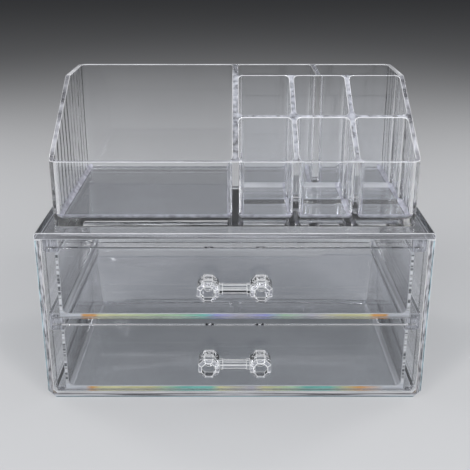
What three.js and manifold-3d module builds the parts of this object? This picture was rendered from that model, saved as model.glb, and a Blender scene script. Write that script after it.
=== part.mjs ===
// Clear cosmetics organizer: a casing with two sliding drawers and a lift-off tray on top.
// Millimetres, +Z up. The drawer fronts face -Y. The origin lies on the table, under the
// middle of the space from the knobs' front faces to the casing's rear face.

import * as THREE from 'three';
import { mergeVertices } from 'three/addons/utils/BufferGeometryUtils.js';
import Module from 'manifold-3d';

const wasm = await Module();
wasm.setup();

// Casing: width and depth over all, and the thickness of each wall.
const casingWidth = 240;
const casingDepth = 136;
const sideThickness = 4;
const floorThickness = 4;
const topThickness = 4;
const backThickness = 4;
const lowerEdgeChamfer = 5;
const innerEdgeChamfer = 2;
const topEdgeRadius = 2;

// Drawer front panels, and the gaps that show around them.
const frontHeight = 46.8;
const frontThickness = 3;
const frontCornerRadius = 1;
const gapBelowFronts = 1;
const gapBetweenFronts = 4.8;
const gapAboveFronts = 5.6;
const gapBesideFronts = 2.1;

// Drawer tubs behind the panels.
const tubWallHeight = 42.2;
const tubWallThickness = 2.3;
const tubFloorThickness = 2.6;
const tubFloorFillet = 3.5;
const tubCornerRadius = 5;
const gapBehindTubs = 4;

// Rails and guides: the ledge that a tub slides on, and the lip beside it.
const ledgeWidth = 2.8;
const lipWidth = 6.7;
const lipHeight = 2.4;

// Handles: two octagonal knobs and a bar between them.
const knobAcrossFlats = 13;
const knobLength = 14;
const knobSpacing = 32;
const knobBevelDepth = 1;
const knobBevelInset = 1.5;
const spigotRadius = 2.5;
const barAcrossFlats = 6;
const barCollarAcrossFlats = 7;
const barCollarWidth = 2;
const barTenonAcrossFlats = 4.4;
const barTenonLength = 3;
const barStandOff = 7;

// Tray: its outside, its walls and dividers, and the depths of its two front rows. The main
// divider parts the large compartment from the small ones, a little right of the middle.
const trayWidth = 221;
const trayDepth = 119;
const trayHeight = 80;
const trayFrontHeight = 40.9;
const trayFrontSetback = 10.6;
const trayWallThickness = 3;
const trayFloorThickness = 4.4;
const trayCornerRadius = 5.5;
const mainDividerThickness = 4;
const mainDividerOffset = 0.5;
const columnDividerThickness = 3.3;
const rowDividerThickness = 2;
const cellCornerRadius = 3.1;
const cellFloorFillet = 3;
const frontRowDepth = 32.1;
const middleRowDepth = 32.6;

// Clearances: bonded joints, sliding fits, and how far a cut runs past what it cuts.
const bondLine = 0.1;
const fitClearance = 0.15;
const slideClearance = 0.3;
const sideClearance = 0.5;
const tipClearance = 0.4;
const topTipClearance = 1.2;
const cutOverrun = 2;

// Counts of the faces that stand for round shapes.
const arcSteps = 6;
const roundSteps = 24;
const knobSides = 8;

// Counts of small compartments side by side: in each of the two front rows, and at the rear.
const frontColumns = 3;
const rearColumns = 2;

// Heights above the table, worked out from the stack of panels and gaps.
const drawerPitch = frontHeight + gapBetweenFronts;
const lowerDrawerZ = floorThickness + gapBelowFronts;
const drawerHeights = [lowerDrawerZ, lowerDrawerZ + drawerPitch];
const ceilingZ = drawerHeights[1] + frontHeight + gapAboveFronts;
const casingHeight = ceilingZ + topThickness;

// Places across and along the object.
const frontY = (knobLength - casingDepth) / 2;
const rearY = frontY + casingDepth;
const innerHalfWidth = casingWidth / 2 - sideThickness;
const tubHalfWidth = innerHalfWidth - lipWidth - sideClearance;
const frontPanelWidth = 2 * (innerHalfWidth - gapBesideFronts);
const tubFrontY = frontThickness + bondLine;
const tubDepth = casingDepth - backThickness - gapBehindTubs - tubFrontY;

// Materials: clear plastic, a little darker where it is seen deep inside.
const clearPlastic = new THREE.MeshStandardMaterial({
  color: 0xe6edf2, roughness: 0.06, metalness: 0, transparent: true, opacity: 0.35,
});
const drawerPlastic = new THREE.MeshStandardMaterial({
  color: 0xdfe4ea, roughness: 0.08, metalness: 0, transparent: true, opacity: 0.4,
});
const handlePlastic = new THREE.MeshStandardMaterial({
  color: 0xf4f6fa, roughness: 0.04, metalness: 0, transparent: true, opacity: 0.55,
});

// A closed geometry becomes a solid that can be joined and cut, and comes back from it.
function toSolid(geometry) {
  const bare = geometry.clone();
  bare.deleteAttribute('normal');
  bare.deleteAttribute('uv');
  const merged = mergeVertices(bare);
  const vertProperties = new Float32Array(merged.attributes.position.array);
  const triVerts = new Uint32Array(merged.index.array);
  return new wasm.Manifold(new wasm.Mesh({ numProp: 3, vertProperties, triVerts }));
}

function toGeometry(solid) {
  const mesh = solid.getMesh();
  const geometry = new THREE.BufferGeometry();
  geometry.setAttribute('position', new THREE.BufferAttribute(mesh.vertProperties, 3));
  geometry.setIndex(new THREE.BufferAttribute(mesh.triVerts, 1));
  geometry.computeVertexNormals();
  return geometry;
}

// An outline drawn in X and Z, extruded backwards from Y = 0.
function extrudeBack(shape, length) {
  const geometry = new THREE.ExtrudeGeometry(shape, {
    depth: length, bevelEnabled: false, curveSegments: arcSteps,
  });
  return geometry.rotateX(Math.PI / 2).translate(0, length, 0);
}

// An outline drawn in Y and Z, extruded across the object about X = 0.
function extrudeAcross(shape, length) {
  const geometry = new THREE.ExtrudeGeometry(shape, {
    depth: length, bevelEnabled: false, curveSegments: arcSteps,
  });
  return geometry.rotateX(Math.PI / 2).rotateZ(Math.PI / 2).translate(-length / 2, 0, 0);
}

// A rectangle with rounded corners, given by its low and high corner.
function roundedRectangle(lowX, lowY, highX, highY, radius) {
  const shape = new THREE.Shape();
  shape.absarc(highX - radius, lowY + radius, radius, -Math.PI / 2, 0);
  shape.absarc(highX - radius, highY - radius, radius, 0, Math.PI / 2);
  shape.absarc(lowX + radius, highY - radius, radius, Math.PI / 2, Math.PI);
  shape.absarc(lowX + radius, lowY + radius, radius, Math.PI, Math.PI * 1.5);
  return shape;
}

// The space of a compartment from its floor up to topZ, with rounded corners and a filleted
// floor. Its upper end runs past topZ.
function compartmentSpace(lowX, lowY, highX, highY, floorZ, topZ, cornerRadius, floorFillet) {
  const outline = roundedRectangle(lowX, lowY, highX, highY, cornerRadius);
  const geometry = new THREE.ExtrudeGeometry(outline, {
    depth: topZ - floorZ + cutOverrun - floorFillet,
    bevelThickness: floorFillet,
    bevelSize: floorFillet,
    bevelOffset: -floorFillet,
    bevelSegments: arcSteps / 2,
    curveSegments: arcSteps / 2,
  });
  return toSolid(geometry.translate(0, 0, floorZ + floorFillet));
}

// An eight-sided bar about the Y axis, from a profile of [half width across flats, Y].
function octagonalBar(profile) {
  const points = profile.map(([inner, y]) => new THREE.Vector2(inner / Math.cos(Math.PI / knobSides), y));
  return new THREE.LatheGeometry(points, knobSides, Math.PI / knobSides);
}

function namedMesh(name, geometry, material, parent) {
  const mesh = new THREE.Mesh(geometry, material);
  mesh.name = name;
  parent.add(mesh);
  return mesh;
}

// Casing body: floor and side walls in one U, its two lower corners cut off at 45 degrees.
function casingBodyGeometry() {
  const half = casingWidth / 2;
  const wallTop = ceilingZ - bondLine;
  const shape = new THREE.Shape();
  shape.moveTo(-half, wallTop);
  shape.lineTo(-half, lowerEdgeChamfer);
  shape.lineTo(-half + lowerEdgeChamfer, 0);
  shape.lineTo(half - lowerEdgeChamfer, 0);
  shape.lineTo(half, lowerEdgeChamfer);
  shape.lineTo(half, wallTop);
  shape.lineTo(innerHalfWidth, wallTop);
  shape.lineTo(innerHalfWidth, floorThickness + innerEdgeChamfer);
  shape.lineTo(innerHalfWidth - innerEdgeChamfer, floorThickness);
  shape.lineTo(-innerHalfWidth + innerEdgeChamfer, floorThickness);
  shape.lineTo(-innerHalfWidth, floorThickness + innerEdgeChamfer);
  shape.lineTo(-innerHalfWidth, wallTop);
  return extrudeBack(shape, casingDepth);
}

// Top panel: flat sheet over the side walls, its long upper edges rounded.
function topPanelGeometry() {
  const half = casingWidth / 2;
  const shape = new THREE.Shape();
  shape.moveTo(-half, 0);
  shape.lineTo(half, 0);
  shape.absarc(half - topEdgeRadius, topThickness - topEdgeRadius, topEdgeRadius, 0, Math.PI / 2);
  shape.absarc(-half + topEdgeRadius, topThickness - topEdgeRadius, topEdgeRadius, Math.PI / 2, Math.PI);
  return extrudeBack(shape, casingDepth);
}

// Back panel: it fills the U between the side walls, over the floor's slanted inner corners.
function backPanelGeometry() {
  const half = innerHalfWidth - bondLine;
  const low = floorThickness + bondLine;
  const high = ceilingZ - bondLine;
  const shape = new THREE.Shape();
  shape.moveTo(-half, high);
  shape.lineTo(-half, low + innerEdgeChamfer);
  shape.lineTo(-half + innerEdgeChamfer, low);
  shape.lineTo(half - innerEdgeChamfer, low);
  shape.lineTo(half, low + innerEdgeChamfer);
  shape.lineTo(half, high);
  return extrudeBack(shape, backThickness);
}

// A rail's section on the right-hand side: X from the casing's middle, Z from the underside.
// The ledge carries a tub, and the lip beside it keeps the tub in line. The outer lower edge
// is cut off where it would meet the casing's slanted inner corner.
function railSection(ledgeHeight, topHeight, cornerCut) {
  const outer = innerHalfWidth - bondLine;
  const lip = innerHalfWidth - lipWidth;
  const inner = lip - ledgeWidth;
  const shape = new THREE.Shape();
  shape.moveTo(inner, 0);
  shape.lineTo(outer - cornerCut, 0);
  if (cornerCut > 0) {
    shape.lineTo(outer, cornerCut);
  }
  shape.lineTo(outer, topHeight);
  if (topHeight > ledgeHeight) {
    shape.lineTo(lip, topHeight);
    shape.lineTo(lip, ledgeHeight);
  }
  shape.lineTo(inner, ledgeHeight);
  return shape;
}

const casing = new THREE.Group();
casing.position.set(0, frontY, 0);
namedMesh('casing_body', casingBodyGeometry(), clearPlastic, casing);
namedMesh('casing_top_panel', topPanelGeometry(), clearPlastic, casing).position.z = ceilingZ;
namedMesh('casing_back_panel', backPanelGeometry(), clearPlastic, casing).position.y = casingDepth - backThickness;

// Rails: each starts just behind the closed front panel, which it stops, and ends at the
// back panel. A pair is one section on the right and its mirror image on the left.
const railStartY = frontThickness + slideClearance;
const railLength = casingDepth - backThickness - bondLine - railStartY;
const floorGuideLedge = gapBelowFronts - slideClearance - bondLine;
const midRailZ = drawerHeights[0] + tubWallHeight + tipClearance;
const midRailLedge = drawerHeights[1] - slideClearance - midRailZ;
const topRailZ = drawerHeights[1] + tubWallHeight + topTipClearance;
const topRailHeight = ceilingZ - bondLine - topRailZ;
const railPairs = [
  ['floor_guide', floorThickness + bondLine, floorGuideLedge, floorGuideLedge + lipHeight, innerEdgeChamfer],
  ['mid_rail', midRailZ, midRailLedge, midRailLedge + lipHeight, 0],
  ['top_rail', topRailZ, topRailHeight, topRailHeight, 0],
];
for (const [name, z, ledgeHeight, topHeight, cornerCut] of railPairs) {
  const section = railSection(ledgeHeight, topHeight, cornerCut);
  const right = extrudeBack(section, railLength);
  const left = extrudeBack(section, railLength).rotateZ(Math.PI).translate(0, railLength, 0);
  namedMesh(`${name}_right`, right, clearPlastic, casing).position.set(0, railStartY, z);
  namedMesh(`${name}_left`, left, clearPlastic, casing).position.set(0, railStartY, z);
}

// Drawer tub: floor, side walls and rear wall in one moulding, open towards its front panel.
function tubGeometry() {
  const rear = tubFrontY + tubDepth;
  const cutFront = tubFrontY - cutOverrun - tubCornerRadius;
  const outline = new THREE.Shape();
  outline.moveTo(-tubHalfWidth, tubFrontY);
  outline.lineTo(tubHalfWidth, tubFrontY);
  outline.absarc(tubHalfWidth - tubCornerRadius, rear - tubCornerRadius, tubCornerRadius, 0, Math.PI / 2);
  outline.absarc(tubCornerRadius - tubHalfWidth, rear - tubCornerRadius, tubCornerRadius, Math.PI / 2, Math.PI);
  const block = new THREE.ExtrudeGeometry(outline, {
    depth: tubWallHeight, bevelEnabled: false, curveSegments: arcSteps,
  });
  const innerHalf = tubHalfWidth - tubWallThickness;
  const innerRear = rear - tubWallThickness;
  const hollow = compartmentSpace(
    -innerHalf, cutFront, innerHalf, innerRear, tubFloorThickness, tubWallHeight,
    Math.max(tubCornerRadius - tubWallThickness, tubFloorFillet) + bondLine, tubFloorFillet,
  );
  return toGeometry(toSolid(block).subtract(hollow));
}

// Front panel: flat sheet with two holes for the knobs' spigots.
function frontPanelGeometry() {
  const half = frontPanelWidth / 2;
  const shape = roundedRectangle(-half, 0, half, frontHeight, frontCornerRadius);
  for (const side of [-1, 1]) {
    const hole = new THREE.Path();
    const holeRadius = spigotRadius + fitClearance;
    hole.absarc(side * knobSpacing / 2, frontHeight / 2, holeRadius, 0, Math.PI * 2, true);
    shape.holes.push(hole);
  }
  const geometry = new THREE.ExtrudeGeometry(shape, {
    depth: frontThickness, bevelEnabled: false, curveSegments: roundSteps / 2,
  });
  return geometry.rotateX(Math.PI / 2).translate(0, frontThickness, 0);
}

// Knob: an octagonal prism in front of the panel with a bevelled front face, a round spigot
// through the panel and a blind octagonal socket towards the other knob. side is -1 or 1.
function knobGeometry(side) {
  const half = knobAcrossFlats / 2;
  const prism = octagonalBar([
    [0, -knobLength],
    [half - knobBevelInset, -knobLength],
    [half, knobBevelDepth - knobLength],
    [half, -bondLine],
    [0, -bondLine],
  ]);
  const spigotEnd = frontThickness - bondLine;
  const spigotLength = spigotEnd + cutOverrun;
  const spigot = new THREE.CylinderGeometry(spigotRadius, spigotRadius, spigotLength, roundSteps);
  spigot.translate(0, spigotEnd - spigotLength / 2, 0);
  const socketHalf = barTenonAcrossFlats / 2 + fitClearance;
  const socketDepth = barTenonLength + fitClearance;
  const socket = octagonalBar([
    [0, half - socketDepth],
    [socketHalf, half - socketDepth],
    [socketHalf, half + cutOverrun],
    [0, half + cutOverrun],
  ]);
  socket.rotateZ(side * Math.PI / 2).translate(0, -barStandOff, 0);
  return toGeometry(toSolid(prism).add(toSolid(spigot)).subtract(toSolid(socket)));
}

// Handle bar: octagonal, with a collar at each knob and a tenon in each knob's socket.
function handleBarGeometry() {
  const shoulder = (knobSpacing - knobAcrossFlats) / 2 - bondLine;
  const tenonEnd = shoulder + barTenonLength;
  const collarStart = shoulder - barCollarWidth;
  const rightHalf = [
    [barAcrossFlats / 2, collarStart],
    [barCollarAcrossFlats / 2, collarStart],
    [barCollarAcrossFlats / 2, shoulder],
    [barTenonAcrossFlats / 2, shoulder],
    [barTenonAcrossFlats / 2, tenonEnd],
    [0, tenonEnd],
  ];
  const leftHalf = rightHalf.map(([width, along]) => [width, -along]).reverse();
  return octagonalBar([...leftHalf, ...rightHalf]).rotateZ(-Math.PI / 2);
}

// Two like drawers, each in a group at its own height.
const object = new THREE.Group();
object.add(casing);
for (const [level, name] of ['lower', 'upper'].entries()) {
  const drawer = new THREE.Group();
  drawer.position.set(0, frontY, drawerHeights[level]);
  object.add(drawer);
  namedMesh(`${name}_drawer_tub`, tubGeometry(), drawerPlastic, drawer);
  namedMesh(`${name}_drawer_front`, frontPanelGeometry(), drawerPlastic, drawer);
  const knobPlace = new THREE.Vector3(knobSpacing / 2, 0, frontHeight / 2);
  const left = namedMesh(`${name}_knob_left`, knobGeometry(-1), handlePlastic, drawer);
  left.position.set(-knobPlace.x, 0, knobPlace.z);
  const right = namedMesh(`${name}_knob_right`, knobGeometry(1), handlePlastic, drawer);
  right.position.copy(knobPlace);
  const bar = namedMesh(`${name}_handle_bar`, handleBarGeometry(), handlePlastic, drawer);
  bar.position.set(0, -barStandOff, knobPlace.z);
}

// Tray: a rounded block, hollowed into one large compartment on the left and three rows of
// small ones on the right, then cut down from the rear divider to the front wall. X is from
// the middle of the tray, Y from its front face and Z from its underside.
function trayGeometry() {
  const half = trayWidth / 2;
  const outline = roundedRectangle(-half, 0, half, trayDepth, trayCornerRadius);
  const block = new THREE.ExtrudeGeometry(outline, {
    depth: trayHeight, bevelEnabled: false, curveSegments: arcSteps,
  });
  let tray = toSolid(block);

  const innerHalf = half - trayWallThickness;
  const innerRear = trayDepth - trayWallThickness;
  const middleRowY = trayWallThickness + frontRowDepth + rowDividerThickness;
  const rearRowY = middleRowY + middleRowDepth + rowDividerThickness;
  const mainLeft = mainDividerOffset - mainDividerThickness / 2;
  const mainRight = mainDividerOffset + mainDividerThickness / 2;
  const rows = [
    [trayWallThickness, trayWallThickness + frontRowDepth, frontColumns],
    [middleRowY, middleRowY + middleRowDepth, frontColumns],
    [rearRowY, innerRear, rearColumns],
  ];

  const spaces = [[-innerHalf, trayWallThickness, mainLeft, innerRear]];
  for (const [lowY, highY, columns] of rows) {
    const pitch = (innerHalf - mainRight + columnDividerThickness) / columns;
    for (let column = 0; column < columns; column += 1) {
      const lowX = mainRight + column * pitch;
      spaces.push([lowX, lowY, lowX + pitch - columnDividerThickness, highY]);
    }
  }
  for (const [lowX, lowY, highX, highY] of spaces) {
    tray = tray.subtract(compartmentSpace(
      lowX, lowY, highX, highY, trayFloorThickness, trayHeight, cellCornerRadius, cellFloorFillet,
    ));
  }

  const breakY = rearRowY - rowDividerThickness;
  const slope = new THREE.Shape();
  slope.moveTo(-cutOverrun, trayFrontHeight);
  slope.lineTo(trayWallThickness, trayFrontHeight);
  slope.lineTo(breakY, trayHeight);
  slope.lineTo(breakY, trayHeight + cutOverrun);
  slope.lineTo(-cutOverrun, trayHeight + cutOverrun);
  return toGeometry(tray.subtract(toSolid(extrudeAcross(slope, trayWidth + 2 * cutOverrun))));
}

const tray = namedMesh('tray', trayGeometry(), clearPlastic, object);
tray.position.set(0, frontY + trayFrontSetback, casingHeight + bondLine);

export default object;
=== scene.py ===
import math

import bmesh
import bpy
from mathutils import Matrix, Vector
from mathutils.geometry import delaunay_2d_cdt


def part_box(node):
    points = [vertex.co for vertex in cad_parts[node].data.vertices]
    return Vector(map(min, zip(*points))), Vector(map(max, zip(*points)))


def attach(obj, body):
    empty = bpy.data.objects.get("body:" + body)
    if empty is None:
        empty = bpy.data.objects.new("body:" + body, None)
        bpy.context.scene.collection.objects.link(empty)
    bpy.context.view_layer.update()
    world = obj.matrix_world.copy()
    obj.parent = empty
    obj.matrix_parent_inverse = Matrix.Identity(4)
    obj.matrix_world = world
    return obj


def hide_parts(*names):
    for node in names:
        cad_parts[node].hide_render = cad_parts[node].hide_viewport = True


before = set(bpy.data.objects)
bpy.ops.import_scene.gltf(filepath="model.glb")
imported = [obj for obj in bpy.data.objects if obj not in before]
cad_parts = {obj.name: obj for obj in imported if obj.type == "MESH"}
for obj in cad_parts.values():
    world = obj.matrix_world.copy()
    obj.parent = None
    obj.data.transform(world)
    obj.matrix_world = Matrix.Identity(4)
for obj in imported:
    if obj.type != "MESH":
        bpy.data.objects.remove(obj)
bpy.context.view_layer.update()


# View. The camera stands in front of the organizer, a little above it, and looks down on it
# as the photograph does.
camera_place = (0.0002, -0.504, 0.2798)
camera_pitch_down = math.radians(20.75)
camera_lens_mm = 60.98
camera_sensor_mm = 36
camera_sees_from = 0.01
camera_sees_to = 50

camera_data = bpy.data.cameras.new("camera")
camera_data.lens = camera_lens_mm
camera_data.sensor_width = camera_sensor_mm
camera_data.clip_start = camera_sees_from
camera_data.clip_end = camera_sees_to
camera = bpy.data.objects.new("camera", camera_data)
camera.location = camera_place
camera.rotation_euler = (math.pi / 2 - camera_pitch_down, 0, 0)
bpy.context.collection.objects.link(camera)
bpy.context.scene.camera = camera
bpy.context.scene.view_settings.view_transform = "Standard"


# Table and studio. A plain pale table under soft lamps that stand close to it, so it gets
# darker far behind. The two in front at the sides are the strongest and light knobs, drawers
# and rims. One hangs overhead, and two behind at the sides light the edges.
table_colour = (0.55, 0.555, 0.57, 1)
table_roughness = 0.7
table_gloss = 0.05
table_reach = 9.0
room_colour = (0.30, 0.31, 0.33, 1)
room_strength = 0.12

table_mesh = bmesh.new()
bmesh.ops.create_grid(table_mesh, x_segments=1, y_segments=1, size=table_reach)
table_data = bpy.data.meshes.new("table_top")
table_mesh.to_mesh(table_data)
table_mesh.free()
table = bpy.data.objects.new("table_top", table_data)
bpy.context.collection.objects.link(table)

table_finish = bpy.data.materials.new("table_finish")
table_finish.use_nodes = True
table_shader = table_finish.node_tree.nodes["Principled BSDF"]
table_shader.inputs["Base Color"].default_value = table_colour
table_shader.inputs["Roughness"].default_value = table_roughness
table_shader.inputs["Specular IOR Level"].default_value = table_gloss
table_data.materials.append(table_finish)

room = bpy.data.worlds.new("room")
room.use_nodes = True
room.node_tree.nodes["Background"].inputs["Color"].default_value = room_colour
room.node_tree.nodes["Background"].inputs["Strength"].default_value = room_strength
bpy.context.scene.world = room


def soft_lamp(name, place, aim, width, depth, watts):
    """A rectangular soft lamp that faces the point aim."""
    lamp_data = bpy.data.lights.new(name, "AREA")
    lamp_data.shape = "RECTANGLE"
    lamp_data.size = width
    lamp_data.size_y = depth
    lamp_data.energy = watts
    lamp = bpy.data.objects.new(name, lamp_data)
    lamp.location = place
    toward = Vector(aim) - Vector(place)
    lamp.rotation_euler = toward.to_track_quat("-Z", "Y").to_euler()
    lamp.visible_camera = False
    bpy.context.collection.objects.link(lamp)


overhead_place = (0, -0.02, 1.0)
under_overhead = (0, -0.02, 0)
object_middle = (0, 0, 0.09)
soft_lamp("overhead_lamp", overhead_place, under_overhead, width=0.8, depth=0.5, watts=1.2)
for side in (-1, 1):
    behind = (side * 0.75, 0.45, 0.62)
    in_front = (side * 0.7, -0.95, 0.92)
    soft_lamp(f"edge_lamp_{side}", behind, object_middle, width=0.22, depth=0.5, watts=3.0)
    soft_lamp(f"front_lamp_{side}", in_front, object_middle, width=0.3, depth=0.5, watts=13)

# The light passes through many layers of plastic, so its paths are long.
light_paths = bpy.context.scene.cycles
light_paths.max_bounces = 40
light_paths.transmission_bounces = 36
light_paths.glossy_bounces = 16
light_paths.diffuse_bounces = 3
light_paths.transparent_max_bounces = 48
light_paths.caustics_refractive = False
light_paths.caustics_reflective = False


# Casing body. One clear plastic moulding, the floor and both side walls in a U. Its lower
# corners are cut off at 45 degrees, and each rim has the small radius that a polished mould
# leaves. Its front and rear ends carry painted light: fine bright and dark lines, and colours
# that stand in for light carried along inside the walls.
side_wall = 0.004
lower_edge_chamfer = 0.005
inner_edge_chamfer = 0.002
rim_radius = 0.0004
mostly = 0.5

plastic_ior = 1.49
plastic_shadow = (0.89, 0.895, 0.9, 1)
flow_detail = 3
flow_darkest_at = 0.35
flow_lightest_at = 0.65
least_haze = 0.6
most_haze = 1.4


def clear_plastic(name, tint, flow_scale, flow_bump, roughness, scatter=0, darkest=0.96):
    """Clear moulded plastic: faint flow lines in its surface, and lamps that shine through.
    The share scatter of the light stays milky in it, as it does along a polished edge, and
    darkest is how dark the flow lines get. Where it is set low, on ends and edges, the lines are
    painted streaks of light and shade."""
    finish = bpy.data.materials.new(name)
    finish.use_nodes = True
    tree = finish.node_tree
    shader = tree.nodes["Principled BSDF"]
    shader.inputs["IOR"].default_value = plastic_ior
    shader.inputs["Transmission Weight"].default_value = 1 - scatter

    place = tree.nodes.new("ShaderNodeTexCoord")
    stretch = tree.nodes.new("ShaderNodeMapping")
    stretch.inputs["Scale"].default_value = flow_scale
    tree.links.new(place.outputs["Object"], stretch.inputs["Vector"])
    flow = tree.nodes.new("ShaderNodeTexNoise")
    flow.inputs["Scale"].default_value = 1
    flow.inputs["Detail"].default_value = flow_detail
    tree.links.new(stretch.outputs["Vector"], flow.inputs["Vector"])

    bump = tree.nodes.new("ShaderNodeBump")
    bump.inputs["Strength"].default_value = 1
    bump.inputs["Distance"].default_value = flow_bump
    tree.links.new(flow.outputs["Fac"], bump.inputs["Height"])
    tree.links.new(bump.outputs["Normal"], shader.inputs["Normal"])

    shade = tree.nodes.new("ShaderNodeMapRange")
    shade.inputs["From Min"].default_value = flow_darkest_at
    shade.inputs["From Max"].default_value = flow_lightest_at
    shade.inputs["To Min"].default_value = darkest
    shade.inputs["To Max"].default_value = 1
    tree.links.new(flow.outputs["Fac"], shade.inputs["Value"])
    colour = tree.nodes.new("ShaderNodeMix")
    colour.data_type = "RGBA"
    colour.blend_type = "MULTIPLY"
    colour.inputs["Factor"].default_value = 1
    colour.inputs["A"].default_value = tint
    tree.links.new(shade.outputs["Result"], colour.inputs["B"])
    tree.links.new(colour.outputs["Result"], shader.inputs["Base Color"])

    haze = tree.nodes.new("ShaderNodeMapRange")
    haze.inputs["To Min"].default_value = roughness * least_haze
    haze.inputs["To Max"].default_value = roughness * most_haze
    tree.links.new(flow.outputs["Fac"], haze.inputs["Value"])
    tree.links.new(haze.outputs["Result"], shader.inputs["Roughness"])

    lamp_way = tree.nodes.new("ShaderNodeBsdfTransparent")
    lamp_way.inputs["Color"].default_value = plastic_shadow
    path = tree.nodes.new("ShaderNodeLightPath")
    choice = tree.nodes.new("ShaderNodeMixShader")
    tree.links.new(path.outputs["Is Shadow Ray"], choice.inputs["Fac"])
    tree.links.new(shader.outputs["BSDF"], choice.inputs[1])
    tree.links.new(lamp_way.outputs["BSDF"], choice.inputs[2])
    tree.links.new(choice.outputs["Shader"], tree.nodes["Material Output"].inputs["Surface"])
    return finish


def node_of(tree, kind):
    """The first node of a kind in a finish."""
    return next(node for node in tree.nodes if node.type == kind)


def worked_out(tree, operation, *values):
    """The result of a sum in a finish. Each value is a number or what another node puts out."""
    node = tree.nodes.new("ShaderNodeMath")
    node.operation = operation
    for value, socket in zip(values, node.inputs):
        if isinstance(value, float):
            socket.default_value = value
        else:
            tree.links.new(value, socket)
    return node.outputs["Value"]


def colour_bands(tree, along, bands):
    """Colours that follow each other in a finish. Each band is its place from 0 to 1 and its
    colour, and along says how far the surface has come."""
    ramp = tree.nodes.new("ShaderNodeValToRGB")
    stops = ramp.color_ramp.elements
    while len(stops) < len(bands):
        stops.new(0.5)
    for stop, (place, colour) in zip(stops, bands):
        stop.position = place
        stop.color = (*colour, 1)
    tree.links.new(along, ramp.inputs["Fac"])
    return ramp.outputs["Color"]


def point_along(axis, a, b, way):
    """The point this way along an axis, and at a and b in the two other ones."""
    return {"X": (way, a, b), "Y": (a, way, b), "Z": (a, b, way)}[axis]


def skin(work, loops):
    """Faces between each loop and the next one."""
    for near, far in zip(loops, loops[1:]):
        for here in range(len(near)):
            after = (here + 1) % len(near)
            work.faces.new((near[here], near[after], far[after], far[here]))


def closed_form(name, loops):
    """A closed piece over loops of points, with a flat face on the first and on the last."""
    work = bmesh.new()
    corners = [[work.verts.new(point) for point in loop] for loop in loops]
    work.faces.new(corners[0])
    work.faces.new(corners[-1])
    skin(work, corners)
    bmesh.ops.recalc_face_normals(work, faces=work.faces)
    data = bpy.data.meshes.new(name)
    work.to_mesh(data)
    work.free()
    piece = bpy.data.objects.new(name, data)
    bpy.context.collection.objects.link(piece)
    return piece


def extruded(name, outline, axis, start, end):
    """An outline drawn in the two other axes, extruded along one axis."""
    loops = [[point_along(axis, a, b, way) for a, b in outline] for way in (start, end)]
    return closed_form(name, loops)


def dress(piece, body_finish, edge_finish, rim_finish, is_edge=lambda middle, out: False):
    """Puts the edge finish on the faces that is_edge picks, and the body finish on the rest.
    The rim finish, the last one, is for the roundings."""
    for finish in (body_finish, edge_finish, rim_finish):
        piece.data.materials.append(finish)
    for face in piece.data.polygons:
        face.material_index = int(is_edge(face.center, face.normal))


def polished(piece, radius, steps=3, sharp_degrees=28):
    """Rounds every edge of a piece that is sharper than this, and smooths what is round."""
    for face in piece.data.polygons:
        face.use_smooth = True
    rounding = piece.modifiers.new("rims", "BEVEL")
    rounding.width = radius
    rounding.segments = steps
    rounding.limit_method = "ANGLE"
    rounding.angle_limit = math.radians(sharp_degrees)
    rounding.use_clamp_overlap = False
    rounding.harden_normals = True
    rounding.material = len(piece.data.materials) - 1


end_line_scale = (1100, 150, 14)
floor_line_share = 0.15
pale_cyan = (0.55, 0.85, 0.95)
cool_white = (0.92, 0.94, 1.0)
pale_grey = (0.88, 0.88, 0.95)
tan = (0.95, 0.82, 0.68)
# Painted light: colours across the wall's thickness, pale cyan outside to tan inside, for light
# carried inside the casing walls.
painted_light_end_bands = [
    (0.0, pale_cyan), (0.18, pale_cyan), (0.35, cool_white), (0.75, pale_grey), (1.0, tan),
]


def painted_light_wall_end(name, half_width):
    """Finish of the casing's ends, painted with light: fine bright and dark lines that run round
    the moulding, parallel to its outer face, in painted colours from pale cyan on the outside to
    tan on the inside, which stand in for light carried along inside the walls. The lines are
    broken into short lengths on the side walls, and run on for longer on the floor."""
    finish = clear_plastic(
        name, tint=(0.9, 0.92, 1.0, 1), flow_scale=end_line_scale, flow_bump=0.0001,
        roughness=0.05, scatter=0.4, darkest=0.15)
    tree = finish.node_tree
    split = tree.nodes.new("ShaderNodeSeparateXYZ")
    tree.links.new(node_of(tree, "TEX_COORD").outputs["Object"], split.inputs["Vector"])
    from_middle = worked_out(tree, "ABSOLUTE", split.outputs["X"])
    from_side = worked_out(tree, "SUBTRACT", half_width, from_middle)
    depth = worked_out(tree, "MINIMUM", from_side, split.outputs["Z"])
    along = worked_out(tree, "MULTIPLY_ADD", from_middle, floor_line_share, split.outputs["Z"])
    way = tree.nodes.new("ShaderNodeCombineXYZ")
    tree.links.new(depth, way.inputs["X"])
    tree.links.new(along, way.inputs["Y"])
    tree.links.new(split.outputs["Y"], way.inputs["Z"])
    tree.links.new(way.outputs["Vector"], node_of(tree, "MAPPING").inputs["Vector"])

    # Painted light: the colour follows the depth into the wall.
    tone = tree.nodes.new("ShaderNodeMapRange")
    tone.inputs["From Max"].default_value = side_wall
    tree.links.new(depth, tone.inputs["Value"])
    bands = colour_bands(tree, tone.outputs["Result"], painted_light_end_bands)
    tree.links.new(bands, node_of(tree, "MIX").inputs["A"])
    return finish


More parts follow.
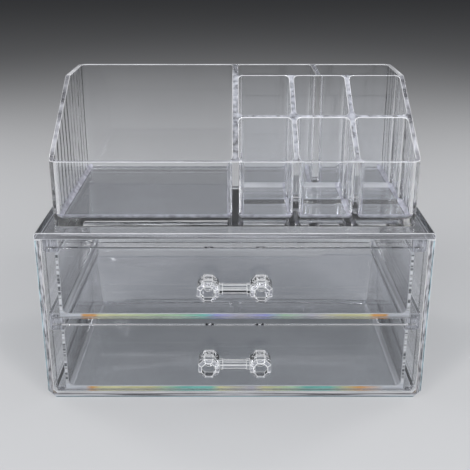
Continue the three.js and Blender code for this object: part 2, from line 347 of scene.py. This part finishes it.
casing_clear = clear_plastic(
    "casing_clear", tint=(0.965, 0.972, 0.985, 1), flow_scale=(30, 200, 6),
    flow_bump=0.000004, roughness=0.01)
casing_rim = clear_plastic(
    "casing_rim", tint=(0.94, 0.95, 1.0, 1), flow_scale=(60, 60, 60),
    flow_bump=0.00002, roughness=0.08, scatter=0.6, darkest=0.8)
body_low, body_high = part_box("casing_body")
inner_x = body_high.x - side_wall
floor_top = body_low.z + side_wall
right_half = [
    (body_high.x - lower_edge_chamfer, body_low.z),
    (body_high.x, body_low.z + lower_edge_chamfer),
    (body_high.x, body_high.z),
    (inner_x, body_high.z),
    (inner_x, floor_top + inner_edge_chamfer),
    (inner_x - inner_edge_chamfer, floor_top),
]
body_outline = right_half + [(-x, z) for x, z in reversed(right_half)]
casing_shell = extruded("casing_shell", body_outline, "Y", body_low.y, body_high.y)
casing_end = painted_light_wall_end("casing_end", body_high.x)
dress(casing_shell, casing_clear, casing_end, casing_rim, lambda middle, out: abs(out.y) > mostly)
polished(casing_shell, rim_radius)
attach(casing_shell, "casing")
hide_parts("casing_body")


# Top panel. A flat clear plastic sheet bonded on the side walls, with its upper edges on the
# left and right rounded. Fine milky lines run along all its edges, painted dark and bright as
# light carried along in the sheet.
top_edge_radius = 0.002
arc_steps = 10
# Painted light and shade: dark and bright streaks along the sheet's edges.
sheet_edge = clear_plastic(
    "sheet_edge", tint=(0.88, 0.9, 0.97, 1), flow_scale=(8, 8, 1100),
    flow_bump=0.00004, roughness=0.05, scatter=0.15, darkest=0.35)


def arc(centre_a, centre_b, radius, start_degrees, end_degrees, steps=arc_steps):
    """Points on a round stretch of an outline."""
    points = []
    for step in range(steps + 1):
        angle = math.radians(start_degrees + (end_degrees - start_degrees) * step / steps)
        points.append((centre_a + radius * math.cos(angle), centre_b + radius * math.sin(angle)))
    return points


top_low, top_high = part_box("casing_top_panel")
top_outline = [(-top_high.x, top_low.z), (top_high.x, top_low.z)]
top_arc_z = top_high.z - top_edge_radius
top_arc_x = top_high.x - top_edge_radius
top_outline += arc(top_arc_x, top_arc_z, top_edge_radius, 0, 90)
top_outline += arc(-top_arc_x, top_arc_z, top_edge_radius, 90, 180)
top_sheet = extruded("top_sheet", top_outline, "Y", top_low.y, top_high.y)
dress(top_sheet, casing_clear, sheet_edge, casing_rim, lambda middle, out: abs(out.z) < mostly)
polished(top_sheet, rim_radius)
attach(top_sheet, "casing")
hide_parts("casing_top_panel")


# Back panel. A flat clear plastic sheet bonded between the side walls, its lower corners cut
# off to clear the slanted corners inside the casing.
back_low, back_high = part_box("casing_back_panel")
corner_x = back_high.x - inner_edge_chamfer
corner_z = back_low.z + inner_edge_chamfer
back_outline = [
    (-back_high.x, back_high.z), (-back_high.x, corner_z), (-corner_x, back_low.z),
    (corner_x, back_low.z), (back_high.x, corner_z), (back_high.x, back_high.z),
]
back_sheet = extruded("back_sheet", back_outline, "Y", back_low.y, back_high.y)
dress(back_sheet, casing_clear, casing_clear, casing_rim)
polished(back_sheet, rim_radius)
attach(back_sheet, "casing")
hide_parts("casing_back_panel")


# Rails. Clear plastic strips bonded along the side walls. Each floor guide and mid rail has a
# ledge that a drawer slides on and a lip that keeps it in line. The top rails are plain.
ledge_width = 0.0028
lip_height = 0.0024
rail_rim_radius = 0.0002
# Painted light and shade: dark and bright streaks on the rails' ends, for light carried along in
# the strips.
rail_end = clear_plastic(
    "rail_end", tint=(0.86, 0.88, 0.96, 1), flow_scale=(1300, 8, 60),
    flow_bump=0.00004, roughness=0.05, scatter=0.3, darkest=0.3)


def rail_piece(node, cornered):
    """A rail from its node's box: the ledge on the inner side, the lip at the side wall. Where
    it is cornered, its lower outer corner clears the slanted corner inside the casing."""
    low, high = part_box(node)
    inner, outer = (low.x, high.x) if low.x > 0 else (high.x, low.x)
    outward = math.copysign(1, outer)
    lip_x = inner + outward * ledge_width
    ledge_z = high.z if node.startswith("top") else high.z - lip_height
    outline = [(inner, low.z)]
    if cornered:
        outline.append((outer - outward * inner_edge_chamfer, low.z))
        outline.append((outer, low.z + inner_edge_chamfer))
    else:
        outline.append((outer, low.z))
    outline.append((outer, high.z))
    if ledge_z < high.z:
        outline += [(lip_x, high.z), (lip_x, ledge_z)]
    outline.append((inner, ledge_z))
    rail = extruded(f"{node}_strip", outline, "Y", low.y, high.y)
    dress(rail, casing_clear, rail_end, casing_rim, lambda middle, out: abs(out.y) > mostly)
    polished(rail, rail_rim_radius)
    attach(rail, "casing")
    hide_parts(node)


for side in ("left", "right"):
    rail_piece(f"floor_guide_{side}", True)
    rail_piece(f"mid_rail_{side}", False)
    rail_piece(f"top_rail_{side}", False)


# Drawer tubs. Clear plastic mouldings with a floor, two side walls and a rear wall, open at
# the front, where the front panel is bonded on. The floor meets the walls in a soft fillet.
# The front ends are painted with dashes and pale colours in place of light that runs along in the
# plastic.
tub_wall = 0.0023
tub_floor = 0.0026
tub_fillet = 0.0035
tub_corner_radius = 0.005
space_corner_radius = 0.0036
cut_overrun = 0.002
squarely = 0.9
leaning = 0.2
upward = 0.1

drawer_clear = clear_plastic(
    "drawer_clear", tint=(0.955, 0.962, 0.98, 1), flow_scale=(30, 60, 30),
    flow_bump=0.000004, roughness=0.01)
drawer_rim = clear_plastic(
    "drawer_rim", tint=(0.92, 0.94, 1.0, 1), flow_scale=(60, 40, 60),
    flow_bump=0.00002, roughness=0.06, scatter=0.6, darkest=0.75)
tub_corner = clear_plastic(
    "tub_corner", tint=(0.9, 0.92, 0.98, 1), flow_scale=(400, 12, 400),
    flow_bump=0.00002, roughness=0.05, scatter=0.4, darkest=0.55)


def quarter_turn(steps):
    """The sine and cosine along a quarter of a circle, from its start to its end."""
    turns = [math.pi / 2 * step / steps for step in range(steps + 1)]
    return [(math.sin(turn), math.cos(turn)) for turn in turns]


def rounded_rectangle(low_a, low_b, high_a, high_b, radius, steps):
    """Outline of a rectangle with rounded corners."""
    points = arc(high_a - radius, low_b + radius, radius, -90, 0, steps)
    points += arc(high_a - radius, high_b - radius, radius, 0, 90, steps)
    points += arc(low_a + radius, high_b - radius, radius, 90, 180, steps)
    points += arc(low_a + radius, low_b + radius, radius, 180, 270, steps)
    return points


def hollow_space(low, high, corner_radius, fillet, steps=8):
    """The space inside walls, from low to high, rounded at its upright corners and filleted
    round its floor, with the corner radius a little over the fillet's. It is used as a cutter."""
    rings = [(fillet * (1 - sine), low[2] + fillet * (1 - cosine))
             for sine, cosine in quarter_turn(steps)]
    rings.append((0, high[2]))
    loops = []
    for inset, z in rings:
        outline = rounded_rectangle(
            low[0] + inset, low[1] + inset, high[0] - inset, high[1] - inset,
            corner_radius - inset, steps)
        loops.append([(x, y, z) for x, y in outline])
    return closed_form("space", loops)


def combine(piece, other, operation):
    """Cuts another closed form out of a piece or fuses it on, for good, and removes it."""
    change = piece.modifiers.new("change", "BOOLEAN")
    change.operation = operation
    change.solver = "EXACT"
    change.object = other
    bpy.context.view_layer.update()
    shaped = piece.evaluated_get(bpy.context.evaluated_depsgraph_get())
    data = bpy.data.meshes.new_from_object(shaped)
    piece.modifiers.remove(change)
    piece.data = data
    bpy.data.objects.remove(other)


# Painted light and shade: dark and white dashes for light running along in a tub's walls.
painted_light_wall_dashes = [(0.42, (0.12, 0.13, 0.15)), (0.56, (0.95, 0.96, 1.0))]
floor_bands_reach = 0.096
edge_white = (0.85, 0.88, 0.95)
amber = (1.0, 0.48, 0.12)
lemon = (0.95, 0.93, 0.50)
pale_green = (0.58, 0.88, 0.60)
teal = (0.25, 0.82, 0.70)
violet = (0.42, 0.44, 0.95)
grey_violet = (0.72, 0.70, 0.82)
# Painted light: pale colours across a tub floor's front end, left to right, for light that the
# plastic splits.
painted_light_floor_bands = {
    "upper": [
        (0.0, edge_white), (0.01, amber), (0.045, amber), (0.06, lemon), (0.32, pale_green),
        (0.40, teal), (0.44, violet), (0.52, grey_violet), (0.60, violet), (0.66, pale_green),
        (0.75, grey_violet), (0.85, lemon), (0.935, lemon), (0.95, amber), (0.99, amber),
        (1.0, edge_white),
    ],
    "lower": [
        (0.0, edge_white), (0.02, amber), (0.05, lemon), (0.22, lemon), (0.27, pale_green),
        (0.33, teal), (0.42, teal), (0.45, lemon), (0.56, grey_violet), (0.60, lemon),
        (0.70, pale_green), (0.74, teal), (0.82, teal), (0.87, lemon), (0.92, amber),
        (1.0, edge_white),
    ],
}


def painted_light_tub_end(level, wall_z):
    """Finish of a tub's front end, painted with light. Its walls, above wall_z, get painted dark
    and white dashes, and its floor painted pale colours in place of the light that the plastic
    splits there, which follow each other from left to right."""
    finish = clear_plastic(
        f"{level}_painted_light_tub_end", tint=(1, 1, 1, 1), flow_scale=(60, 40, 700),
        flow_bump=0.00003, roughness=0.08, scatter=0.9, darkest=0.75)
    tree = finish.node_tree
    tint = node_of(tree, "MIX")
    split = tree.nodes.new("ShaderNodeSeparateXYZ")
    tree.links.new(node_of(tree, "TEX_COORD").outputs["Object"], split.inputs["Vector"])
    across = tree.nodes.new("ShaderNodeMapRange")
    across.inputs["From Min"].default_value = -floor_bands_reach
    across.inputs["From Max"].default_value = floor_bands_reach
    tree.links.new(split.outputs["X"], across.inputs["Value"])
    # Painted light: the floor's colours by place across it, the walls' dashes from the flow
    # noise.
    colours = colour_bands(tree, across.outputs["Result"], painted_light_floor_bands[level])
    dashes = colour_bands(tree, node_of(tree, "TEX_NOISE").outputs["Fac"], painted_light_wall_dashes)
    choice = tree.nodes.new("ShaderNodeMix")
    choice.data_type = "RGBA"
    on_wall = worked_out(tree, "GREATER_THAN", split.outputs["Z"], wall_z)
    tree.links.new(on_wall, choice.inputs["Factor"])
    tree.links.new(colours, choice.inputs["A"])
    tree.links.new(dashes, choice.inputs["B"])
    tree.links.new(choice.outputs["Result"], tint.inputs["A"])
    return finish


def drawer_tub(level):
    """One drawer's tub, from its node's box."""
    low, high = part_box(f"{level}_drawer_tub")
    outline = [(low.x, low.y), (high.x, low.y)]
    rear_arc_x = high.x - tub_corner_radius
    rear_arc_y = high.y - tub_corner_radius
    outline += arc(rear_arc_x, rear_arc_y, tub_corner_radius, 0, 90)
    outline += arc(-rear_arc_x, rear_arc_y, tub_corner_radius, 90, 180)
    tub = extruded(f"{level}_tub_moulding", outline, "Z", low.z, high.z)
    inside_x = high.x - tub_wall
    inside_z = low.z + tub_floor
    open_front = low.y - tub_corner_radius - cut_overrun
    space_low = (-inside_x, open_front, inside_z)
    space_high = (inside_x, high.y - tub_wall, high.z + cut_overrun)
    space = hollow_space(space_low, space_high, space_corner_radius, tub_fillet)
    combine(tub, space, "DIFFERENCE")

    end_finish = painted_light_tub_end(level, inside_z + tub_fillet / 2)
    dress(tub, drawer_clear, end_finish, drawer_rim, lambda middle, out: (
        out.y < -squarely and middle.y < low.y + rim_radius))
    finishes = tub.data.materials
    for face in tub.data.polygons:
        if face.normal.z > squarely and face.center.z > high.z - rim_radius:
            face.material_index = finishes.find(drawer_rim.name)
    polished(tub, rim_radius)
    finishes.append(tub_corner)
    for face in tub.data.polygons:
        leans = abs(face.normal.x) > leaning and face.normal.z > upward
        low_inside = abs(face.center.x) < inside_x and face.center.z < inside_z + tub_fillet
        if leans and low_inside:
            face.material_index = finishes.find(tub_corner.name)
    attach(tub, f"{level}_drawer")
    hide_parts(f"{level}_drawer_tub")


for level in ("lower", "upper"):
    drawer_tub(level)


# Drawer fronts. Flat clear plastic panels, one bonded on the front of each tub. Each has two
# round holes for the knobs' spigots, and short dark and pale streaks painted in its left and
# right ends, as painted light and shade carried along in the panel.
front_corner_radius = 0.001
front_corner_steps = 4
front_rim_radius = 0.00015
front_rim_steps = 2
spigot_radius = 0.0025
spigot_clearance = 0.00015
round_steps = 40
# Painted light and shade: dark and pale streaks on the panels' left and right ends.
panel_end = clear_plastic(
    "panel_end", tint=(0.92, 0.94, 1.0, 1), flow_scale=(60, 40, 600),
    flow_bump=0.00004, roughness=0.04, scatter=0.45, darkest=0.2)


def drawer_front(level):
    """One drawer's front panel with its two holes."""
    low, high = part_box(f"{level}_drawer_front")
    outline = rounded_rectangle(
        low.x, low.z, high.x, high.z, front_corner_radius, front_corner_steps)
    front = extruded(f"{level}_front_panel", outline, "Y", low.y, high.y)
    for side in ("left", "right"):
        knob_low, knob_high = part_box(f"{level}_knob_{side}")
        hole_x = (knob_low.x + knob_high.x) / 2
        hole_z = (knob_low.z + knob_high.z) / 2
        ring = arc(hole_x, hole_z, spigot_radius + spigot_clearance, 0, 360, round_steps)[:-1]
        hole = extruded("hole", ring, "Y", low.y - cut_overrun, high.y + cut_overrun)
        combine(front, hole, "DIFFERENCE")
    end_x = high.x - 2 * front_corner_radius
    dress(front, drawer_clear, panel_end, drawer_clear, lambda middle, out: (
        abs(out.x) > mostly and abs(middle.x) > end_x))
    polished(front, front_rim_radius, front_rim_steps)
    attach(front, f"{level}_drawer")
    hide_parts(f"{level}_drawer_front")


for level in ("lower", "upper"):
    drawer_front(level)


# Knobs. Solid clear plastic prisms with eight sides and a bevelled front face. A round spigot
# behind is bonded in the front panel's hole, and a blind eight-sided socket in the side takes
# the bar's end.
knob_bevel_depth = 0.0016
knob_bevel_inset = 0.0021
bond_line = 0.0001
socket_across_flats = 0.0047
socket_depth = 0.00315
bar_stand_off = 0.007
octagon = 8
facet_rim = 0.0002
facet_rim_steps = 1
facet_sharp_degrees = 18

handle_clear = clear_plastic(
    "handle_clear", tint=(0.985, 0.987, 0.995, 1), flow_scale=(60, 60, 60),
    flow_bump=0.000004, roughness=0.006)
handle_facet = clear_plastic(
    "handle_facet", tint=(0.93, 0.94, 1.0, 1), flow_scale=(60, 60, 60),
    flow_bump=0.000004, roughness=0.02, scatter=0.18)
handle_rim = clear_plastic(
    "handle_rim", tint=(0.97, 0.98, 1.0, 1), flow_scale=(60, 60, 60),
    flow_bump=0.000004, roughness=0.05, scatter=0.8, darkest=0.9)


def turned(name, profile, sides, middle, axis):
    """A prism or cylinder about an axis. Each point of its profile is half the width across
    flats, and the place along the axis."""
    loops = []
    for half_width, way in profile:
        radius = half_width / math.cos(math.pi / sides)
        angles = [math.pi / sides + 2 * math.pi * side / sides for side in range(sides)]
        loops.append([
            Vector(point_along(axis, radius * math.cos(angle), radius * math.sin(angle), way))
            + middle for angle in angles])
    return closed_form(name, loops)


def knob(level, side):
    """One knob, from its node's box."""
    low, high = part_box(f"{level}_knob_{side}")
    half = (high.x - low.x) / 2
    middle = Vector(((low.x + high.x) / 2, 0, (low.z + high.z) / 2))
    front_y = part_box(f"{level}_drawer_front")[0].y
    rear_y = front_y - bond_line
    profile = [
        (half - knob_bevel_inset, low.y),
        (half, low.y + knob_bevel_depth),
        (half, rear_y),
    ]
    prism = turned(f"{level}_{side}_knob", profile, octagon, middle, "Y")
    spigot_profile = [(spigot_radius, rear_y - cut_overrun), (spigot_radius, high.y)]
    combine(prism, turned("spigot", spigot_profile, round_steps, middle, "Y"), "UNION")
    toward_bar = -math.copysign(1, middle.x)
    socket_half = socket_across_flats / 2
    socket_profile = [
        (socket_half, toward_bar * (half - socket_depth)),
        (socket_half, toward_bar * (half + cut_overrun)),
    ]
    socket_middle = Vector((middle.x, front_y - bar_stand_off, middle.z))
    combine(prism, turned("socket", socket_profile, octagon, socket_middle, "X"), "DIFFERENCE")
    dress(prism, handle_clear, handle_facet, handle_rim, lambda middle, out: (
        -squarely < out.y < -mostly))
    polished(prism, facet_rim, facet_rim_steps, facet_sharp_degrees)
    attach(prism, f"{level}_drawer")
    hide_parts(f"{level}_knob_{side}")


for level in ("lower", "upper"):
    for side in ("left", "right"):
        knob(level, side)


# Handle bars. Slim clear plastic bars with eight sides, a collar at each knob, and a tenon at
# each end that is bonded into the knob's socket.
bar_across_flats = 0.006
collar_across_flats = 0.007
collar_width = 0.002
tenon_across_flats = 0.0044
tenon_length = 0.003


def handle_bar(level):
    """One bar, from its node's box."""
    low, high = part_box(f"{level}_handle_bar")
    shoulder = high.x - tenon_length
    collar_start = shoulder - collar_width
    right_half = [
        (bar_across_flats / 2, collar_start),
        (collar_across_flats / 2, collar_start),
        (collar_across_flats / 2, shoulder),
        (tenon_across_flats / 2, shoulder),
        (tenon_across_flats / 2, high.x),
    ]
    left_half = [(half, -way) for half, way in reversed(right_half)]
    middle = Vector((0, (low.y + high.y) / 2, (low.z + high.z) / 2))
    bar = turned(f"{level}_bar", left_half + right_half, octagon, middle, "X")
    dress(bar, handle_clear, handle_clear, handle_rim)
    polished(bar, facet_rim, facet_rim_steps, facet_sharp_degrees)
    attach(bar, f"{level}_drawer")
    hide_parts(f"{level}_handle_bar")


for level in ("lower", "upper"):
    handle_bar(level)


# Tray. One clear plastic moulding that stands loose on the top panel: a large compartment on
# the left, three rows of small ones on the right. Its side walls and dividers slope down to
# the front wall, and soft fillets join them to each other and to the floor.
tray_wall = 0.003
tray_floor = 0.0044
tray_corner_radius = 0.0055
tray_front_height = 0.0409
main_divider = 0.004
main_divider_offset = 0.0005
column_divider = 0.0033
row_divider = 0.002
cell_corner_radius = 0.0031
cell_fillet = 0.003
front_row_depth = 0.0321
middle_row_depth = 0.0326
front_columns = 3
rear_columns = 2
tray_corner_steps = 14
cell_corner_steps = 8
foot_steps = 3
rim_steps = 4
fillet_steps = 7
same_point = 1e-7
nearly_level = 0.98

tray_low, tray_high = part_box("tray")
inner_left = tray_low.x + tray_wall
inner_right = tray_high.x - tray_wall
inner_front = tray_low.y + tray_wall
inner_rear = tray_high.y - tray_wall
floor_z = tray_low.z + tray_floor
front_top = tray_low.z + tray_front_height
main_left = main_divider_offset - main_divider / 2
main_right = main_divider_offset + main_divider / 2
middle_row_y = inner_front + front_row_depth + row_divider
break_y = middle_row_y + middle_row_depth
rear_row_y = break_y + row_divider

tray_clear = clear_plastic(
    "tray_clear", tint=(0.965, 0.972, 0.985, 1), flow_scale=(20, 120, 4),
    flow_bump=0.00001, roughness=0.01)
tray_rim = clear_plastic(
    "tray_rim", tint=(0.95, 0.96, 1.0, 1), flow_scale=(60, 150, 60),
    flow_bump=0.00002, roughness=0.05, scatter=0.6, darkest=0.8)
tray_top = clear_plastic(
    "tray_top", tint=(0.88, 0.90, 1.0, 1), flow_scale=(300, 300, 60),
    flow_bump=0.00008, roughness=0.04, scatter=0.4, darkest=0.3)
tray_corner = clear_plastic(
    "tray_corner", tint=(0.86, 0.86, 1.0, 1), flow_scale=(300, 220, 300),
    flow_bump=0.00002, roughness=0.05, scatter=0.6, darkest=0.55)
tray_slope = clear_plastic(
    "tray_slope", tint=(0.90, 0.91, 1.0, 1), flow_scale=(20, 130, 130),
    flow_bump=0.00006, roughness=0.05, scatter=0.4, darkest=0.25)
tray_finishes = [tray_clear, tray_rim, tray_top, tray_corner, tray_slope]

stripe_scale = 34
stripe_wander = 1.5
stripe_relief = 14.0


def stripe_the_sides(finish):
    """Adds upright ripples, one behind the other, to the faces that look left or right."""
    tree = finish.node_tree
    surface = node_of(tree, "TEX_COORD")
    stripes = tree.nodes.new("ShaderNodeTexWave")
    stripes.bands_direction = "Y"
    stripes.inputs["Scale"].default_value = stripe_scale
    stripes.inputs["Distortion"].default_value = stripe_wander
    tree.links.new(surface.outputs["Object"], stripes.inputs["Vector"])
    facing = tree.nodes.new("ShaderNodeSeparateXYZ")
    tree.links.new(surface.outputs["Normal"], facing.inputs["Vector"])
    sideways = worked_out(tree, "ABSOLUTE", facing.outputs["X"])
    on_sides = worked_out(tree, "MULTIPLY", stripes.outputs["Fac"], sideways)
    flow = node_of(tree, "TEX_NOISE").outputs["Fac"]
    relief = worked_out(tree, "MULTIPLY_ADD", on_sides, stripe_relief, flow)
    tree.links.new(relief, node_of(tree, "BUMP").inputs["Height"])


def rim_height(y):
    """Height of the rims: low along the front wall, then up a slope to the rear divider."""
    rise = min(1, max(0, (y - inner_front) / (break_y - inner_front)))
    return front_top + (tray_high.z - front_top) * rise


def outline_with_directions(low_x, low_y, high_x, high_y, radius, steps):
    """A rounded rectangle's points, each with the direction that faces out of it. A point is
    added where a side passes the top of the slope, unless one lies there to the micrometre."""
    ring = []
    for centre_x, centre_y, start_degrees in (
        (high_x - radius, low_y + radius, -90),
        (high_x - radius, high_y - radius, 0),
        (low_x + radius, high_y - radius, 90),
        (low_x + radius, low_y + radius, 180),
    ):
        for step in range(steps + 1):
            angle = math.radians(start_degrees + 90 * step / steps)
            out = Vector((math.cos(angle), math.sin(angle)))
            ring.append((Vector((centre_x, centre_y)) + radius * out, out))
    whole = []
    for (point, out), (after, _) in zip(ring, ring[1:] + ring[:1]):
        whole.append((point, out))
        if round(point.y - break_y, 6) * round(after.y - break_y, 6) < 0:
            share = (break_y - point.y) / (after.y - point.y)
            whole.append((point.lerp(after, share), out))
    return whole


def loop_at(work, ring, offset, height):
    """The ring's vertices, moved out by offset, at the height that height(y) gives."""
    loop = []
    for point, out in ring:
        place = point + offset * out
        loop.append(work.verts.new((place.x, place.y, height(place.y))))
    return loop


def outer_wall(work):
    """The tray's outer wall, foot and underside. Gives the loop of its rim."""
    ring = outline_with_directions(
        tray_low.x, tray_low.y, tray_high.x, tray_high.y, tray_corner_radius, tray_corner_steps)
    loops = []
    for sine, cosine in quarter_turn(foot_steps):
        foot_z = tray_low.z + rim_radius * (1 - cosine)
        loops.append(loop_at(work, ring, rim_radius * (sine - 1), lambda y: foot_z))
    for sine, cosine in quarter_turn(rim_steps):
        drop = rim_radius * (1 - sine)
        loops.append(loop_at(
            work, ring, rim_radius * (cosine - 1), lambda y: rim_height(y) - drop))
    skin(work, loops)
    work.faces.new(loops[0])
    return loops[-1]


def compartment(work, low_x, low_y, high_x, high_y):
    """A compartment's walls, fillet and floor. Gives the loop of its rim."""
    ring = outline_with_directions(
        low_x, low_y, high_x, high_y, cell_corner_radius, cell_corner_steps)
    loops = []
    for sine, cosine in quarter_turn(rim_steps):
        drop = rim_radius * (1 - cosine)
        loops.append(loop_at(work, ring, rim_radius * (1 - sine), lambda y: rim_height(y) - drop))
    for sine, cosine in quarter_turn(fillet_steps):
        fillet_z = floor_z + cell_fillet * (1 - sine)
        loops.append(loop_at(work, ring, cell_fillet * (cosine - 1), lambda y: fillet_z))
    skin(work, loops)
    work.faces.new(loops[-1])
    return loops[0]


def wall_finish(middle, out):
    """The finish of a face on the walls, floors or underside, by its middle and direction. The
    milky fillets run front to back and along the front wall, and the rear row divider's foot
    is as bright as a rim."""
    if middle.z < floor_z + cell_fillet and upward < out.z < nearly_level:
        if abs(out.x) > leaning or middle.y < inner_front + cell_fillet:
            return tray_corner
        in_middle_row = middle.x > main_right and middle_row_y < middle.y < break_y
        if in_middle_row and out.y < -leaning:
            return tray_rim
    on_foot = middle.z < tray_low.z + rim_radius and out.z > -nearly_level
    on_rim = middle.z > rim_height(middle.y) - rim_radius
    return tray_rim if on_foot or on_rim else tray_clear


def top_finish(middle):
    """The finish of a face on top of the dividers, or of the outer walls."""
    if inner_left < middle.x < inner_right and inner_front < middle.y < inner_rear:
        return tray_top
    return tray_slope if middle.y < break_y else tray_rim


def tray_mesh():
    """The tray's closed mesh: outer wall, compartments, and the tops between their rims."""
    work = bmesh.new()
    rims = [outer_wall(work)]
    rims.append(compartment(work, inner_left, inner_front, main_left, inner_rear))
    for low_y, high_y, columns in (
        (inner_front, inner_front + front_row_depth, front_columns),
        (middle_row_y, break_y, front_columns),
        (rear_row_y, inner_rear, rear_columns),
    ):
        pitch = (inner_right - main_right + column_divider) / columns
        for column in range(columns):
            low_x = main_right + column * pitch
            rims.append(compartment(work, low_x, low_y, low_x + pitch - column_divider, high_y))

    corners = [corner for rim in rims for corner in rim]
    areas = []
    for rim in rims:
        first = sum(len(area) for area in areas)
        areas.append(list(range(first, first + len(rim))))
    flat = [corner.co.to_2d() for corner in corners]
    _, _, triangles, came_from, _, sources = delaunay_2d_cdt(flat, [], areas, 0, same_point)
    tops = []
    for triangle, source in zip(triangles, sources):
        if list(source) == [0]:
            tops.append(work.faces.new([corners[came_from[corner][0]] for corner in triangle]))
    bmesh.ops.recalc_face_normals(work, faces=work.faces)
    for face in work.faces:
        finish = wall_finish(face.calc_center_median(), face.normal)
        face.material_index = tray_finishes.index(finish)
    for face in tops:
        finish = top_finish(face.calc_center_median())
        face.material_index = tray_finishes.index(finish)
    data = bpy.data.meshes.new("tray_moulding")
    work.to_mesh(data)
    work.free()
    return data


stripe_the_sides(tray_clear)
tray_moulding = bpy.data.objects.new("tray_moulding", tray_mesh())
bpy.context.collection.objects.link(tray_moulding)
for face in tray_moulding.data.polygons:
    face.use_smooth = True
flats = tray_moulding.modifiers.new("flats", "WEIGHTED_NORMAL")
flats.keep_sharp = False
for finish in tray_finishes:
    tray_moulding.data.materials.append(finish)
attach(tray_moulding, "tray")
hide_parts("tray")
